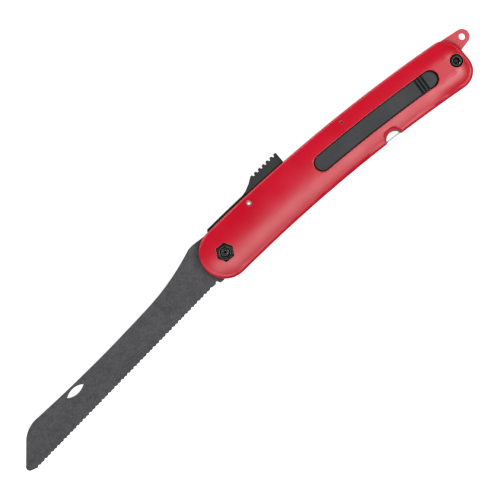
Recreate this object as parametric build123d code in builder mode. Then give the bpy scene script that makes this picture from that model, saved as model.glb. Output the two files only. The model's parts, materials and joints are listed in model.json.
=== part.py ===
"""Folding drywall (jab) saw: a 152 mm blade that folds into a crowned two-scale handle.

Frame, in millimetres: the origin is on the blade pivot's axis, on the plane that the rear scale
rests on. +X runs to the tail screw, +Y to the spine side that carries the lock lever, and +Z up
through the front scale, which carries the belt clip. The blade is modelled open.
"""

import os
from math import asin, cos, degrees, radians, sin, sqrt

from build123d import *

os.makedirs("parts", exist_ok=True)

# ---- driving dimensions: handle --------------------------------------------------------------
TIP_CLEARANCE = 2.9  # folded blade's tip to the tail screw's axis
CENTRELINE_RISE = 3.9  # bow of the handle's centreline between those axes
HANDLE_WIDTH = 30.0
HANDLE_THICKNESS = 18.0
TAIL_LENGTH = 6.4  # tail screw axis to the flat tail end
TAIL_CORNER_RADIUS = 11.0
CROWN_REACH = 10.5  # how far the crown runs in from the outline to the flat land
CROWN_DROP = 1.9  # how far it falls over that reach
EDGE_ROUNDING = 1.8
LINER_THICKNESS = 1.0
LINER_INSET = 0.35  # liners and spacer stand back from the scales' edge

# ---- driving dimensions: blade ---------------------------------------------------------------
BLADE_THICKNESS = 1.2
BLADE_TILT = 6.24  # degrees between the tooth line and the handle's X axis when open
TIP_REACH = 167.1  # pivot axis to the tip, along the tooth line; the handle is made to fit it
TIP_DROP = 5.8
TIP_CLIP_RUN = 12.1  # how far back from the tip the clipped point reaches
TIP_CLIP_HEIGHT = 7.3
SHOULDER_RUN = 23.1  # how far back from the tip the spine's rounded shoulder ends
SPINE_HEIGHTS = (11.2, 10.1, 9.4, 9.1, 9.3, 10.0)  # evenly spaced, shoulder to foot of hump
HUMP_FOOT_X = -45.0
HUMP_START_X = -13.5
HUMP_RISE = 1.2  # hump above the handle's spine edge
TOOTH_LINE = -8.8
TOOTH_PITCH = 2.6
TOOTH_DEPTHS = (0.75, 0.45)  # gullets alternate, as the teeth are ground in pairs
TOOTH_GULLET_SHARE = 0.55  # where the gullet lies along the pitch
TOOTH_START = -19.0
TEETH_TO_TIP = 4.1  # plain edge left before the tip
TANG_RADIUS = 10.3
NAIL_SLOT_FROM_TIP = 51.0
NAIL_SLOT_Y = 6.2
NAIL_SLOT_LEAN = -5.0  # degrees from the tooth line
NAIL_SLOT_LENGTH = 12.4
NAIL_SLOT_HEIGHT = 3.9
FOLD_ANGLE = 173.0

# ---- driving dimensions: pivot, pins and screws ------------------------------------------------
PIVOT_BOLT_RADIUS = 2.5
BUSHING_RADIUS = 4.0
WASHER_RADIUS = 8.0
WASHER_THICKNESS = 0.6
PIVOT_NUT_ACROSS_FLATS = 9.3
PIVOT_NUT_HEIGHT = 2.8
NUT_ENTRY = 0.6  # depth and width of the nut's countersunk thread entry
BOLT_HEAD_RADIUS = 5.2
BOLT_HEAD_HEIGHT = 2.2
TAIL_SCREW_RADIUS = 1.5
TAIL_HEAD_RADIUS = 3.2
TAIL_HEAD_HEIGHT = 3.0
TAIL_SOCKET_DEPTH = 2.4
TAIL_HEAD_SUNK = 0.9  # below the crown
TAIL_SOCKET_ACROSS_FLATS = 3.9
TAIL_NUT_ACROSS_FLATS = 5.5
LEVER_PIN_X = 28.1
LEVER_PIN_DEPTH = 4.38  # below the spine edge
LEVER_PIN_RADIUS = 1.5
LEVER_PIN_BORE = 0.8
SPRING_PIN_X = 97.6
SPRING_PIN_DEPTH = 4.22
SPRING_PIN_RADIUS = 0.85
DOWEL_SETBACK = 42.0  # from the tail screw
DOWEL_OFFSET = 8.5  # from the handle's centreline
DOWEL_RADIUS = 1.25
LINER_SCREW_RADIUS = 1.0
LINER_SCREW_HEAD_RADIUS = 1.9
LINER_SCREW_DEPTH = 5.6  # tip's height above the mid-plane
LINER_SCREW_FROM_PIVOT = 48.0
LINER_SCREW_MIDDLE = 93.0
LINER_SCREW_SETBACK = 12.0  # from the tail screw

# ---- driving dimensions: lock lever and its spring ---------------------------------------------
LEVER_NOSE_X = -0.5
LEVER_TOOTH_WIDTH = 5.0
LEVER_TOOTH_TRAVEL = 2.0
LEVER_PROUD = 1.45  # how far the arm stands above the spine
LEVER_ARM_DEPTH = 2.6  # arm's underside below the spine edge at the pivot
PAD_WIDTH = 7.6
PAD_FRONT_X = 30.5
PAD_REAR_X = 58.2
PAD_SINK = 1.5  # how far the pad's underside lies below the spine
PAD_FRONT_RISE = 6.3  # first ridge above the spine edge
PAD_REAR_RISE = 7.0  # last ridge above the spine edge
PAD_BEVEL_RUN = 2.4  # flats ground on the pad's rear end
PAD_BEVEL_FALL = 1.0
FIRST_RIDGE_X = 38.9
RIDGE_PITCH = 3.05
RIDGE_COUNT = 7
RIDGE_WIDTH = 1.75
RIDGE_CROWN = 0.3
RIDGE_DEPTH = 1.3
LEVER_PRESS_ANGLE = 3.0
LEAF_THICKNESS = 1.1
LEAF_EYE_RADIUS = 1.7

# ---- driving dimensions: belt clip, finger notch and lanyard tab -------------------------------
CLIP_SETBACK = 18.8  # from the tail screw to the centre of the clip's rear round end
CLIP_SPAN = 76.3  # between the centres of its round ends
CLIP_WIDTH = 9.2
CLIP_THICKNESS = 1.8
CLIP_PROUD = 0.25
CLIP_PIN_SETBACK = 13.2  # from the rear round end's centre
CLIP_PIN_DROP = 1.85  # below the bar's underside
CLIP_PIN_RADIUS = 0.75
CLIP_PIN_LENGTH = 16.0
CLIP_LUG_WIDTH = 6.0
GROOVE_COUNT = 3
GROOVE_PITCH = 2.1
GROOVE_SETBACK = 3.0  # last groove from the rear round end's centre
GROOVE_RADIUS = 0.7
CLIP_SPRING_SETBACK = 4.0
CLIP_SPRING_RADIUS = 1.6
CLIP_SPRING_WIRE = 0.4
CLIP_SPRING_TURNS = 4
NOTCH_SETBACK = 54.17  # from the tail screw
NOTCH_OUTSIDE = 1.0  # notch centre beyond the belly edge
NOTCH_RADIUS = 5.6
NOTCH_FLARE = 1.6
WINDOW_RADIUS = 5.2
WINDOW_STRIP = 1.1  # steel left between the liner's window and its belly edge
LANYARD_OUT = 11.9  # from the tail screw
LANYARD_UP = 8.6
LANYARD_HOLE_RADIUS = 1.9
LANYARD_WALL = 2.5

# ---- named clearances --------------------------------------------------------------------------
RUNNING_GAP = 0.05  # radial, shafts and pins that turn
PRESS_GAP = 0.01  # radial, pins that are driven in
SCREW_GAP = 0.1  # radial, bolts and screws in their holes
POCKET_GAP = 0.15  # around nuts and screw heads
CLIP_GAP = 0.5  # around the clip in its pocket
CLIP_UNDER_GAP = 0.6
POCKET_BREAK = 0.3  # width of the broken edge around the clip's pocket
SIDE_GAP = 0.05  # each side of the blade, washers and lever
PAD_GAP = 0.35
PAD_END_GAP = 0.9  # at the pad's ends, which swing with the lever
MOVING_GAP = 0.3  # between the spring and the lever
BLADE_SWING_GAP = 0.5

SPACER_BOW = 1.8  # how much nearer the centreline the spacer may come than the tooth line
SPACER_FRONT_GAP = 2.3  # pad to spacer
SPACER_DEEP_GAP = 5.0  # spring pin to the spacer's full depth
SPRING_ROOM = 2.0  # depth of the spacer's strip above the leaf spring
DOWEL_HALF_LENGTH = 5.0

# ---- sizes that follow -------------------------------------------------------------------------
SCREW_SPAN = TIP_REACH + TIP_CLEARANCE  # pivot axis to tail screw axis
MID = HANDLE_THICKNESS / 2
HALF_WIDTH = HANDLE_WIDTH / 2
ARC_X = SCREW_SPAN / 2
ARC_RADIUS = (ARC_X**2 + CENTRELINE_RISE**2) / (2 * CENTRELINE_RISE)
ARC_Y = CENTRELINE_RISE - ARC_RADIUS
CHANNEL_HALF = BLADE_THICKNESS / 2 + WASHER_THICKNESS + 2 * SIDE_GAP
LINER_TOP = CHANNEL_HALF + LINER_THICKNESS
LEVER_WEB = 2 * (CHANNEL_HALF - 2 * SIDE_GAP)
CROWN_EDGE = MID - CROWN_DROP
CROWN_RUN = CROWN_REACH - EDGE_ROUNDING
CROWN_RADIUS = (CROWN_RUN**2 + CROWN_DROP**2) / (2 * CROWN_DROP)
TAIL_X = SCREW_SPAN + TAIL_LENGTH
BLADE_REACH = sqrt(TIP_REACH**2 + TIP_DROP**2)
SWING_RADIUS = BLADE_REACH + BLADE_SWING_GAP
FOLDED_TEETH = -TOOTH_LINE - SPACER_BOW  # offset that clears the folded tooth line
SPACER_FRONT_X = PAD_REAR_X + SPACER_FRONT_GAP
SPACER_DEEP_X = SPRING_PIN_X + SPACER_DEEP_GAP
LEVER_ARM_BOTTOM = HALF_WIDTH - LEVER_ARM_DEPTH
HUMP_HEIGHT = HALF_WIDTH + HUMP_RISE
CLIP_REAR_X = SCREW_SPAN - CLIP_SETBACK
CLIP_FRONT_X = CLIP_REAR_X - CLIP_SPAN
CLIP_PIN_X = CLIP_REAR_X - CLIP_PIN_SETBACK
CLIP_SPRING_X = CLIP_REAR_X - CLIP_SPRING_SETBACK
DOWEL_X = SCREW_SPAN - DOWEL_SETBACK
LANYARD_AT = (SCREW_SPAN + LANYARD_OUT, LANYARD_UP)
LINER_SCREWS = (  # x, offset from the centreline
    (LINER_SCREW_FROM_PIVOT, -6.0),
    (LINER_SCREW_MIDDLE, -7.5),
    (SCREW_SPAN - LINER_SCREW_SETBACK, -9.0),
)


def arc_y(radius, x):
    """Height at x of a circle about the handle's bow centre."""
    return ARC_Y + sqrt(radius**2 - (x - ARC_X) ** 2)


def on_centreline(x, offset=0.0):
    """A point at distance offset from the centreline, beside the centreline's point at x."""
    lean = asin((x - ARC_X) / ARC_RADIUS)
    return (x + offset * sin(lean), arc_y(ARC_RADIUS, x) + offset * cos(lean))


def spine_y(x, rise=0.0):
    """Height at x of the handle's spine edge, moved out by rise."""
    return arc_y(ARC_RADIUS + HALF_WIDTH + rise, x)


def cross_plane(x, height):
    """A plane along the handle at x: its Y is up and its Z points across, to the belly."""
    lean = asin((x - ARC_X) / ARC_RADIUS)
    point = on_centreline(x)
    return Plane(
        origin=(point[0], point[1], MID + height),
        x_dir=(cos(lean), -sin(lean), 0),
        z_dir=(-sin(lean), -cos(lean), 0),
    )


def level(height):
    """The horizontal plane at this height above the mid-plane."""
    return Plane.XY.offset(MID + height)


def unit(point, centre):
    """Unit vector from centre to point."""
    length = sqrt((point[0] - centre[0]) ** 2 + (point[1] - centre[1]) ** 2)
    return ((point[0] - centre[0]) / length, (point[1] - centre[1]) / length)


def bulge(centre, radius, start, end):
    """Mid-point of the short arc about centre, between two directions."""
    way = unit((start[0] + end[0], start[1] + end[1]), (0, 0))
    return (centre[0] + way[0] * radius, centre[1] + way[1] * radius)


def crown_height(depth):
    """Height of the scale's outer face, above the mid-plane, at this depth in from the outline."""
    if depth >= CROWN_REACH:
        return MID
    return MID - CROWN_RADIUS + sqrt(CROWN_RADIUS**2 - (CROWN_REACH - depth) ** 2)


def outline(inset=0.0):
    """Draw the handle's outline, moved inwards by inset: five arcs and the flat tail."""
    bow = (ARC_X, ARC_Y)
    corner = TAIL_CORNER_RADIUS - inset
    nose = HALF_WIDTH - inset
    tail = TAIL_X - inset
    corner_x = TAIL_X - TAIL_CORNER_RADIUS
    upper_centre = (corner_x, arc_y(ARC_RADIUS + HALF_WIDTH - TAIL_CORNER_RADIUS, corner_x))
    lower_centre = (corner_x, arc_y(ARC_RADIUS - HALF_WIDTH + TAIL_CORNER_RADIUS, corner_x))
    across = unit((0, 0), bow)
    upper = unit(upper_centre, bow)
    lower = (-unit(lower_centre, bow)[0], -unit(lower_centre, bow)[1])
    spine_start = (across[0] * nose, across[1] * nose)
    belly_end = (-across[0] * nose, -across[1] * nose)
    spine_end = (upper_centre[0] + upper[0] * corner, upper_centre[1] + upper[1] * corner)
    belly_start = (lower_centre[0] + lower[0] * corner, lower_centre[1] + lower[1] * corner)
    ThreePointArc(spine_start, (ARC_X, ARC_Y + ARC_RADIUS + nose), spine_end)
    ThreePointArc(spine_end, bulge(upper_centre, corner, upper, (1, 0)), (tail, upper_centre[1]))
    Line((tail, upper_centre[1]), (tail, lower_centre[1]))
    ThreePointArc((tail, lower_centre[1]), bulge(lower_centre, corner, lower, (1, 0)), belly_start)
    ThreePointArc(belly_start, (ARC_X, ARC_Y + ARC_RADIUS - nose), belly_end)
    ThreePointArc(belly_end, (-across[1] * nose, across[0] * nose), spine_start)


def arc_slot(x_start, x_end, width):
    """Draw a slot that follows the centreline, with round ends centred at two x values."""
    middle = (x_start + x_end) / 2
    with BuildLine(mode=Mode.PRIVATE):
        path = ThreePointArc(on_centreline(x_start), on_centreline(middle), on_centreline(x_end))
    SlotArc(path, width)


def relief_corners():
    """Corners of the room that the thumb pad needs when the lever is pressed."""
    front = PAD_FRONT_X - PAD_END_GAP
    rear = PAD_REAR_X + 1.5 * PAD_END_GAP
    above = spine_y(rear, PAD_REAR_RISE)
    drop = PAD_SINK + (rear - LEVER_PIN_X) * sin(radians(LEVER_PRESS_ANGLE)) + 2.4 * PAD_END_GAP
    front_y = spine_y(front) - PAD_SINK - PAD_END_GAP
    return [(front, above), (front, front_y), (rear, spine_y(rear) - drop), (rear, above)]


def scale_blank(side):
    """Add one crowned scale: a swept border around a flat land. side is +1 front, -1 rear."""
    with BuildLine(level(0)) as rim:
        outline()
    border_plane = Plane(origin=(TAIL_X, 0, MID), x_dir=(-1, 0, 0), z_dir=(0, side, 0))
    wall_top = CROWN_EDGE - EDGE_ROUNDING
    shoulder = (EDGE_ROUNDING * 0.27, wall_top + EDGE_ROUNDING * 0.68)
    with BuildSketch(border_plane) as border:
        with BuildLine():
            Line((0, LINER_TOP), (0, wall_top))
            ThreePointArc((0, wall_top), shoulder, (EDGE_ROUNDING, CROWN_EDGE))
            TangentArc((CROWN_REACH, MID), (EDGE_ROUNDING, CROWN_EDGE), tangent=(-1, 0))
            Line((CROWN_REACH, MID), (CROWN_REACH, LINER_TOP))
            Line((CROWN_REACH, LINER_TOP), (0, LINER_TOP))
        make_face()
    sweep(sections=border.sketch, path=rim.wires()[0])
    with BuildSketch(level(side * LINER_TOP)) as land:
        with BuildLine():
            outline(CROWN_REACH)
        make_face()
    extrude(land.sketch, amount=side * (MID - LINER_TOP))


def drill(side, spot, radius, start, end):
    """Cut a round hole between two heights on one side of the mid-plane."""
    with BuildSketch(level(side * start)) as hole:
        with Locations(spot):
            Circle(radius)
    extrude(hole.sketch, amount=side * (end - start), mode=Mode.SUBTRACT)


def scale_holes(side):
    """Cut what both scales share: pivot, pins, screws, pad room and finger notch."""
    past = MID + 1
    drill(side, (0, 0), PIVOT_BOLT_RADIUS + SCREW_GAP, LINER_TOP, past)
    drill(side, (SCREW_SPAN, 0), TAIL_SCREW_RADIUS + SCREW_GAP, LINER_TOP, past)
    drill(side, LEVER_PIN_AT, LEVER_PIN_RADIUS + PRESS_GAP, LINER_TOP, past)
    drill(side, SPRING_PIN_AT, SPRING_PIN_RADIUS + PRESS_GAP, LINER_TOP, past)
    dowel = on_centreline(DOWEL_X, DOWEL_OFFSET)
    drill(side, dowel, DOWEL_RADIUS + PRESS_GAP, LINER_TOP, DOWEL_HALF_LENGTH + 0.3)
    for x, offset_y in LINER_SCREWS:
        spot = on_centreline(x, offset_y)
        drill(side, spot, LINER_SCREW_RADIUS + RUNNING_GAP, LINER_TOP, LINER_SCREW_DEPTH + 0.4)
    with BuildSketch(level(side * LINER_TOP)) as pad_room:
        with BuildLine():
            Polyline(*relief_corners(), close=True)
        make_face()
    pad_room_depth = PAD_WIDTH / 2 + PAD_GAP - LINER_TOP
    extrude(pad_room.sketch, amount=side * pad_room_depth, mode=Mode.SUBTRACT)
    drill(side, NOTCH_AT, NOTCH_RADIUS, LINER_TOP - 1, past)
    flare_from = CROWN_EDGE - 1.4
    with BuildSketch(level(side * flare_from)) as flare_root:
        with Locations(NOTCH_AT):
            Circle(NOTCH_RADIUS)
    with BuildSketch(level(side * past)) as flare_mouth:
        with Locations(NOTCH_AT):
            Circle(NOTCH_RADIUS + NOTCH_FLARE * (past - flare_from) / 2.5)
    loft([flare_root.sketch, flare_mouth.sketch], mode=Mode.SUBTRACT)


def hex_prism(side, spot, across_flats, start, end, mode=Mode.ADD):
    """A hexagon with corners along X, between two heights on one side of the mid-plane."""
    with BuildSketch(level(side * start)) as hexagon:
        with Locations(spot):
            RegularPolygon(across_flats / 2, 6, major_radius=False)
    extrude(hexagon.sketch, amount=side * (end - start), mode=mode)


def finish(piece, label):
    """Label a finished piece and write its file."""
    piece.part.label = label
    export_step(piece.part, f"parts/{label}.step")


# ---- heights that several pieces share -----------------------------------------------------------
NUT_TOP = MID - 0.45
NUT_FLOOR = NUT_TOP - PIVOT_NUT_HEIGHT
HEAD_FLOOR = MID - BOLT_HEAD_HEIGHT  # the head's face is level with the rear land
TAIL_CROWN = crown_height(TAIL_LENGTH)
TAIL_HEAD_FLOOR = TAIL_CROWN - TAIL_HEAD_HEIGHT - TAIL_HEAD_SUNK
TAIL_NUT_HEIGHT = 2.4
TAIL_NUT_FLOOR = TAIL_CROWN - TAIL_NUT_HEIGHT - 0.8
CLIP_TOP = MID + CLIP_PROUD
CLIP_BOTTOM = CLIP_TOP - CLIP_THICKNESS
CLIP_PIN_HEIGHT = CLIP_BOTTOM - CLIP_PIN_DROP
CLIP_POCKET_FLOOR = CLIP_BOTTOM - CLIP_UNDER_GAP
CLIP_WELL_FLOOR = CLIP_PIN_HEIGHT - 2 * CLIP_PIN_RADIUS - 0.4
CLIP_WELL_FRONT_X = CLIP_PIN_X - 6.0
POCKET_REAR_X = CLIP_REAR_X + CLIP_GAP
CLIP_SPRING_SEAT = LINER_TOP + 0.7
LEVER_PIN_AT = (LEVER_PIN_X, spine_y(LEVER_PIN_X) - LEVER_PIN_DEPTH)
SPRING_PIN_AT = (SPRING_PIN_X, spine_y(SPRING_PIN_X) - SPRING_PIN_DEPTH)
NOTCH_AT = on_centreline(SCREW_SPAN - NOTCH_SETBACK, -HALF_WIDTH - NOTCH_OUTSIDE)

# ---- front scale ---------------------------------------------------------------------------------
with BuildPart() as front_scale:
    scale_blank(1)
    scale_holes(1)
    hex_prism(
        1,
        (0, 0),
        PIVOT_NUT_ACROSS_FLATS + 2 * POCKET_GAP,
        NUT_FLOOR,
        MID + 1,
        mode=Mode.SUBTRACT,
    )
    drill(1, (SCREW_SPAN, 0), TAIL_HEAD_RADIUS + 4.5 * POCKET_GAP, TAIL_HEAD_FLOOR, MID + 1)
    # clip pocket: shallow under the bar, deep under the pin and the ribbed end
    with BuildSketch(level(CLIP_POCKET_FLOOR)):
        arc_slot(CLIP_FRONT_X, POCKET_REAR_X, CLIP_WIDTH + 2 * CLIP_GAP)
    extrude(amount=MID + 1 - CLIP_POCKET_FLOOR, mode=Mode.SUBTRACT)
    # broken edge around the pocket's mouth
    mouth_width = CLIP_WIDTH + 2 * CLIP_GAP + 2 * POCKET_BREAK
    with BuildSketch(level(CROWN_EDGE)) as mouth_root:
        arc_slot(CLIP_FRONT_X, POCKET_REAR_X, mouth_width - 2 * (MID - CROWN_EDGE))
    with BuildSketch(level(MID + 1)) as mouth:
        arc_slot(CLIP_FRONT_X, POCKET_REAR_X, mouth_width + 2)
    loft([mouth_root.sketch, mouth.sketch], mode=Mode.SUBTRACT)
    with BuildSketch(level(CLIP_WELL_FLOOR)):
        arc_slot(CLIP_WELL_FRONT_X, POCKET_REAR_X, CLIP_WIDTH + 2 * CLIP_GAP)
    extrude(amount=CLIP_POCKET_FLOOR - CLIP_WELL_FLOOR + 0.1, mode=Mode.SUBTRACT)
    # cross bore for the clip's pin, drilled in from the belly edge
    with BuildSketch(cross_plane(CLIP_PIN_X, CLIP_PIN_HEIGHT).offset(-CLIP_PIN_LENGTH / 2)):
        Circle(CLIP_PIN_RADIUS + PRESS_GAP)
    extrude(amount=CLIP_PIN_LENGTH / 2 + HALF_WIDTH + 1, mode=Mode.SUBTRACT)
    spring_radius = CLIP_SPRING_RADIUS + CLIP_SPRING_WIRE / 2 + MOVING_GAP
    drill(1, on_centreline(CLIP_SPRING_X), spring_radius, CLIP_SPRING_SEAT, CLIP_WELL_FLOOR + 0.1)
finish(front_scale, "front_scale")

# ---- rear scale ----------------------------------------------------------------------------------
with BuildPart() as rear_scale:
    scale_blank(-1)
    scale_holes(-1)
    drill(-1, (0, 0), BOLT_HEAD_RADIUS + 2 * POCKET_GAP, HEAD_FLOOR, MID + 1)
    hex_prism(
        -1,
        (SCREW_SPAN, 0),
        TAIL_NUT_ACROSS_FLATS + 2 * POCKET_GAP,
        TAIL_NUT_FLOOR,
        MID + 1,
        mode=Mode.SUBTRACT,
    )
finish(rear_scale, "rear_scale")


# ---- liners: a steel plate behind each scale -------------------------------------------------------
def liner(side):
    """Add one steel liner with its holes, pad room and finger window."""
    with BuildSketch(level(side * CHANNEL_HALF)) as plate:
        with BuildLine():
            outline(LINER_INSET)
        make_face()
        with BuildLine():
            Polyline(*relief_corners(), close=True)
        make_face(mode=Mode.SUBTRACT)
        Circle(PIVOT_BOLT_RADIUS + RUNNING_GAP, mode=Mode.SUBTRACT)
        with Locations((SCREW_SPAN, 0)):
            Circle(TAIL_SCREW_RADIUS + SCREW_GAP, mode=Mode.SUBTRACT)
        with Locations(LEVER_PIN_AT):
            Circle(LEVER_PIN_RADIUS + PRESS_GAP, mode=Mode.SUBTRACT)
        with Locations(SPRING_PIN_AT):
            Circle(SPRING_PIN_RADIUS + PRESS_GAP, mode=Mode.SUBTRACT)
        with Locations(on_centreline(DOWEL_X, DOWEL_OFFSET)):
            Circle(DOWEL_RADIUS + PRESS_GAP, mode=Mode.SUBTRACT)
        with BuildSketch(mode=Mode.PRIVATE) as window:
            with Locations(NOTCH_AT):
                Circle(WINDOW_RADIUS)
            with Locations((ARC_X, ARC_Y)):
                Circle(ARC_RADIUS - HALF_WIDTH + LINER_INSET + WINDOW_STRIP, mode=Mode.SUBTRACT)
        add(window.sketch, mode=Mode.SUBTRACT)
    extrude(plate.sketch, amount=side * LINER_THICKNESS)
    for x, offset_y in LINER_SCREWS:
        countersunk_screw(side, on_centreline(x, offset_y), RUNNING_GAP, Mode.SUBTRACT)


def countersunk_screw(side, spot, gap, mode):
    """A small countersunk screw from the channel side out into a scale, grown by gap."""
    head_face = CHANNEL_HALF + 0.05
    head_end = LINER_TOP - 0.05
    slope = (LINER_SCREW_HEAD_RADIUS - LINER_SCREW_RADIUS) / (head_end - head_face)
    with BuildSketch(level(side * (head_face - 2 * gap))) as head:
        with Locations(spot):
            Circle(LINER_SCREW_HEAD_RADIUS + gap + 2 * gap * slope)
    with BuildSketch(level(side * head_end)) as shank:
        with Locations(spot):
            Circle(LINER_SCREW_RADIUS + gap)
    loft([head.sketch, shank.sketch], mode=mode)
    extrude(shank.sketch, amount=side * (LINER_SCREW_DEPTH - head_end + gap), mode=mode)


with BuildPart() as front_liner:
    liner(1)
finish(front_liner, "front_liner")

with BuildPart() as rear_liner:
    liner(-1)
finish(rear_liner, "rear_liner")


def liner_screws(side):
    """Add the three screws that hold one liner to its scale, with driver recesses."""
    for x, offset_y in LINER_SCREWS:
        spot = on_centreline(x, offset_y)
        countersunk_screw(side, spot, 0.0, Mode.ADD)
        hex_prism(side, spot, 1.3, CHANNEL_HALF, CHANNEL_HALF + 0.8, mode=Mode.SUBTRACT)


with BuildPart() as front_liner_screws:
    liner_screws(1)
finish(front_liner_screws, "front_liner_screws")

with BuildPart() as rear_liner_screws:
    liner_screws(-1)
finish(rear_liner_screws, "rear_liner_screws")

# ---- spine spacer, with the lanyard tab at its tail ------------------------------------------------
with BuildPart() as spine_spacer:
    with BuildSketch(level(-CHANNEL_HALF)):
        with BuildLine():
            outline(LINER_INSET)
        make_face()
        with BuildSketch(mode=Mode.PRIVATE) as blade_room:
            with Locations((ARC_X, ARC_Y)):
                Circle(ARC_RADIUS + FOLDED_TEETH)
            Circle(SWING_RADIUS, mode=Mode.INTERSECT)
        add(blade_room.sketch, mode=Mode.SUBTRACT)
        with BuildSketch(mode=Mode.PRIVATE) as spring_room:
            with Locations((ARC_X, ARC_Y)):
                Circle(ARC_RADIUS + HALF_WIDTH - SPRING_ROOM)
            with Locations((SPACER_DEEP_X, 0)):
                Rectangle(400, 400, align=(Align.MAX, Align.CENTER), mode=Mode.INTERSECT)
        add(spring_room.sketch, mode=Mode.SUBTRACT)
        with Locations((SPACER_FRONT_X, 0)):
            Rectangle(400, 400, align=(Align.MAX, Align.CENTER), mode=Mode.SUBTRACT)
        # lanyard tab: a round eye faired back into the tail
        tab_radius = LANYARD_HOLE_RADIUS + LANYARD_WALL
        with Locations(LANYARD_AT):
            Circle(tab_radius)
        upper_lean = radians(-6.5)
        lower_lean = radians(13.9)
        upper_touch = (
            LANYARD_AT[0] - tab_radius * sin(upper_lean),
            LANYARD_AT[1] + tab_radius * cos(upper_lean),
        )
        lower_touch = (
            LANYARD_AT[0] + tab_radius * sin(lower_lean),
            LANYARD_AT[1] - tab_radius * cos(lower_lean),
        )
        root_x = SCREW_SPAN - 1.2
        root_run = upper_touch[0] - root_x
        with BuildLine():
            Polyline(
                (root_x, upper_touch[1] - root_run * sin(upper_lean)),
                upper_touch,
                LANYARD_AT,
                lower_touch,
                (TAIL_X - 1.0, lower_touch[1] - (lower_touch[0] - TAIL_X + 1.0) * sin(lower_lean)),
                (root_x, 2.4),
                close=True,
            )
        make_face()
        with Locations(LANYARD_AT):
            Circle(LANYARD_HOLE_RADIUS, mode=Mode.SUBTRACT)
        with Locations((SCREW_SPAN, 0)):
            Circle(TAIL_SCREW_RADIUS + SCREW_GAP, mode=Mode.SUBTRACT)
        with Locations(on_centreline(DOWEL_X, DOWEL_OFFSET)):
            Circle(DOWEL_RADIUS + PRESS_GAP, mode=Mode.SUBTRACT)
    extrude(amount=2 * CHANNEL_HALF)
finish(spine_spacer, "spine_spacer")

with BuildPart() as spacer_dowel:
    with BuildSketch(level(-DOWEL_HALF_LENGTH)):
        with Locations(on_centreline(DOWEL_X, DOWEL_OFFSET)):
            Circle(DOWEL_RADIUS)
    extrude(amount=2 * DOWEL_HALF_LENGTH)
    chamfer(spacer_dowel.edges().filter_by(GeomType.CIRCLE), 0.3)
finish(spacer_dowel, "spacer_dowel")

# ---- blade pivot: bolt, nut, bushing and washers ---------------------------------------------------
with BuildPart() as pivot_bolt:
    with BuildSketch(level(-HEAD_FLOOR)):
        Circle(BOLT_HEAD_RADIUS)
    extrude(amount=-BOLT_HEAD_HEIGHT)
    chamfer(pivot_bolt.faces().sort_by(Axis.Z)[0].edges(), 0.5)
    with BuildSketch(level(-HEAD_FLOOR)):
        Circle(PIVOT_BOLT_RADIUS)
    extrude(amount=HEAD_FLOOR + NUT_TOP + 0.2)
    chamfer(pivot_bolt.faces().sort_by(Axis.Z)[-1].edges(), 0.4)
    hex_prism(
        -1,
        (0, 0),
        4.0,
        HEAD_FLOOR + BOLT_HEAD_HEIGHT - 1.7,
        HEAD_FLOOR + BOLT_HEAD_HEIGHT + 1,
        mode=Mode.SUBTRACT,
    )
    hex_prism(1, (0, 0), 1.9, NUT_TOP - 1.0, NUT_TOP + 1, mode=Mode.SUBTRACT)
finish(pivot_bolt, "pivot_bolt")

with BuildPart() as pivot_nut:
    hex_prism(1, (0, 0), PIVOT_NUT_ACROSS_FLATS, NUT_FLOOR, NUT_TOP)
    # turned chamfer on the visible face
    with BuildSketch(Plane.XZ) as turned:
        with BuildLine():
            Polyline(
                (PIVOT_NUT_ACROSS_FLATS / 2 - 0.35, MID + NUT_TOP),
                (PIVOT_NUT_ACROSS_FLATS, MID + NUT_TOP - PIVOT_NUT_ACROSS_FLATS * 0.32),
                (PIVOT_NUT_ACROSS_FLATS, MID + NUT_TOP + 1),
                (PIVOT_NUT_ACROSS_FLATS / 2 - 0.35, MID + NUT_TOP + 1),
                close=True,
            )
        make_face()
    revolve(axis=Axis.Z, mode=Mode.SUBTRACT)
    drill(1, (0, 0), PIVOT_BOLT_RADIUS + RUNNING_GAP, NUT_FLOOR - 1, NUT_TOP + 1)
    # countersunk thread entry
    with BuildSketch(level(NUT_TOP - NUT_ENTRY)) as entry_root:
        Circle(PIVOT_BOLT_RADIUS + RUNNING_GAP)
    with BuildSketch(level(NUT_TOP)) as entry_mouth:
        Circle(PIVOT_BOLT_RADIUS + RUNNING_GAP + NUT_ENTRY)
    loft([entry_root.sketch, entry_mouth.sketch], mode=Mode.SUBTRACT)
finish(pivot_nut, "pivot_nut")

with BuildPart() as pivot_bushing:
    with BuildSketch(level(-CHANNEL_HALF + SIDE_GAP)):
        Circle(BUSHING_RADIUS)
        Circle(PIVOT_BOLT_RADIUS + RUNNING_GAP, mode=Mode.SUBTRACT)
    extrude(amount=2 * (CHANNEL_HALF - SIDE_GAP))
finish(pivot_bushing, "pivot_bushing")


def pivot_washer(side):
    """Add one thrust washer between the blade and a liner."""
    with BuildSketch(level(side * (BLADE_THICKNESS / 2 + SIDE_GAP))) as ring:
        Circle(WASHER_RADIUS)
        Circle(BUSHING_RADIUS + RUNNING_GAP, mode=Mode.SUBTRACT)
    extrude(ring.sketch, amount=side * WASHER_THICKNESS)


with BuildPart() as front_pivot_washer:
    pivot_washer(1)
finish(front_pivot_washer, "front_pivot_washer")

with BuildPart() as rear_pivot_washer:
    pivot_washer(-1)
finish(rear_pivot_washer, "rear_pivot_washer")

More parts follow.
